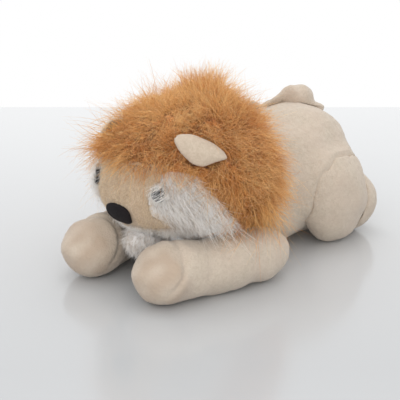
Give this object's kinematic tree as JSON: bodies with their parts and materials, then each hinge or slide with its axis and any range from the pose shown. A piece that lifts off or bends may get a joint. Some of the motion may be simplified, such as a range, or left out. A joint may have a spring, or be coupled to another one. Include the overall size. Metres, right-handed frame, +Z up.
{
  "type": "stuffed toy lion",
  "caption": "Small stuffed lion lying on its belly, with a long-pile mane, four soft legs, a curled tail and plastic eyes.",
  "frame": {"origin": "middle of the flat of the belly, on the surface that the toy lies on", "axes": "+Z up; -Y the way the face looks; +X the toy's own left side"},
  "size_m": [0.1278, 0.2173, 0.1144],
  "materials": {
    "body_plush": "matte",
    "face_plush": "matte",
    "white_fur": "matte",
    "mane_fur": "matte",
    "nose_cloth": "matte",
    "eye_plastic": "gloss",
    "washer_plastic": "satin",
    "filling": "matte",
    "pellets": "matte"
  },
  "bodies": {
    "body": {"torso": "body_plush", "pellet_pouch": "pellets"},
    "head": {"head_filling": "filling", "face_panel": "face_plush", "chin_panel": "white_fur", "throat_panel": "face_plush", "beard": "white_fur", "nose": "nose_cloth", "mane_crown": "mane_fur", "mane_nape": "mane_fur", "cheek_left": "white_fur", "mane_left": "mane_fur", "eye_left": "eye_plastic", "eye_washer_left": "washer_plastic", "cheek_right": "white_fur", "mane_right": "mane_fur", "eye_right": "eye_plastic", "eye_washer_right": "washer_plastic"},
    "tail_body": {"tail": "body_plush", "tail_tuft": "mane_fur"},
    "foreleg_left": {"arm_left": "body_plush"},
    "hind_leg_left": {"haunch_left": "body_plush", "hind_foot_left": "body_plush"},
    "ear_body_left": {"ear_left": "body_plush"},
    "foreleg_right": {"arm_right": "body_plush"},
    "hind_leg_right": {"haunch_right": "body_plush", "hind_foot_right": "body_plush"},
    "ear_body_right": {"ear_right": "body_plush"}
  },
  "joints": [
    {"name": "head_nod", "type": "hinge", "parent": "body", "child": "head", "pos_m": [0, -0.014, 0.077], "axis": [-1, 0, 0], "range_deg": [0, 18]},
    {"name": "tail_lift", "type": "hinge", "parent": "body", "child": "tail_body", "pos_m": [0, 0.078, 0.0785], "axis": [-1, 0, 0], "range_deg": [0, 40], "stiffness_Nm_per_rad": 0.004},
    {"name": "shoulder_left", "type": "hinge", "parent": "body", "child": "foreleg_left", "pos_m": [0.047, -0.031, 0.0165], "axis": [0, 0, 1], "range_deg": [0, 40], "stiffness_Nm_per_rad": 0.01},
    {"name": "hip_left", "type": "hinge", "parent": "body", "child": "hind_leg_left", "pos_m": [0.036, 0.027, 0.0285], "axis": [0, 0, -1], "range_deg": [0, 25], "stiffness_Nm_per_rad": 0.01},
    {"name": "ear_lift_left", "type": "hinge", "parent": "head", "child": "ear_body_left", "pos_m": [0.03307, -0.07035, 0.08925], "axis": [-0.7142, -0.5634, 0.4154], "range_deg": [0, 25], "stiffness_Nm_per_rad": 0.001},
    {"name": "shoulder_right", "type": "hinge", "parent": "body", "child": "foreleg_right", "pos_m": [-0.047, -0.031, 0.0165], "axis": [0, 0, -1], "range_deg": [0, 40], "stiffness_Nm_per_rad": 0.01},
    {"name": "hip_right", "type": "hinge", "parent": "body", "child": "hind_leg_right", "pos_m": [-0.036, 0.027, 0.0285], "axis": [0, 0, 1], "range_deg": [0, 25], "stiffness_Nm_per_rad": 0.01},
    {"name": "ear_lift_right", "type": "hinge", "parent": "head", "child": "ear_body_right", "pos_m": [-0.03307, -0.07035, 0.08925], "axis": [-0.7142, 0.5634, -0.4154], "range_deg": [0, 25], "stiffness_Nm_per_rad": 0.001}
  ]
}
